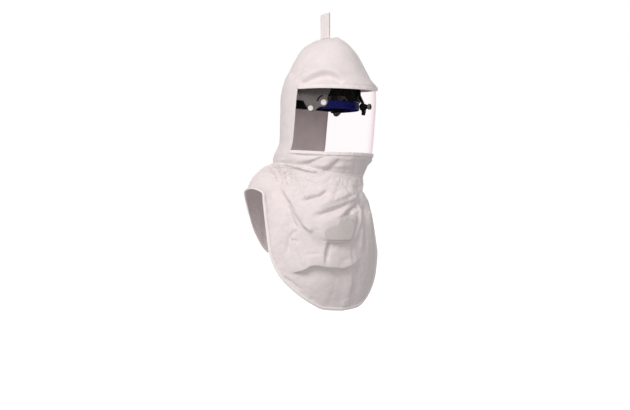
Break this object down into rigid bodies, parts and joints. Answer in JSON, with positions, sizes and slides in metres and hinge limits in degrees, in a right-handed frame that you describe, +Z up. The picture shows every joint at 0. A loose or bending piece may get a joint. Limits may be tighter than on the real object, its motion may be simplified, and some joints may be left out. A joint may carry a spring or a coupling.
{
  "type": "respirator hood",
  "caption": "White spun-fibre respirator hood with a peaked crown, a clear wrap-round visor, long front and back bibs and a tilting headband on plates inside.",
  "frame": {"origin": "middle of the headband, where the hood sits on the head", "axes": "+Z up the crown, -Y the way the visor faces, +X the wearer's left"},
  "size_m": [0.3802, 0.3493, 0.8096],
  "materials": {
    "hood_cloth": "soft spun-fibre sheet, matt with a faint sheen",
    "hem_tape": "folded binding of the same sheet",
    "label_cloth": "plain woven patch",
    "loop_tape": "woven tape",
    "visor_film": "clear flexible film with a faint warm tint",
    "band_blue": "satin moulded",
    "strap_black": "webbing",
    "plate_grey": "matt moulded",
    "button_white": "gloss moulded",
    "frame_black": "satin moulded"
  },
  "bodies": {
    "hood": {"hood_shell": "hood_cloth", "visor": "visor_film", "visor_top_hem": "hem_tape", "visor_bottom_hem": "hem_tape", "bib_front": "hood_cloth", "bib_back": "hood_cloth", "label_patch": "label_cloth", "hanging_loop": "loop_tape", "side_plate_left": "plate_grey", "side_plate_right": "plate_grey", "pivot_button_left": "button_white", "pivot_button_right": "button_white", "rear_button_left": "button_white", "rear_button_right": "button_white", "hood_stud_left": "plate_grey", "hood_stud_right": "plate_grey", "brow_frame": "frame_black", "front_bracket": "frame_black", "front_knob": "frame_black"},
    "headband": {"brow_band": "band_blue", "nape_band": "frame_black", "crown_strap": "strap_black"}
  },
  "joints": [
    {"name": "headband_tilt", "type": "hinge", "parent": "hood", "child": "headband", "pos_m": [0, -0.053, 0.0057], "axis": [1, 0, 0], "range_deg": [-10, 10]}
  ]
}
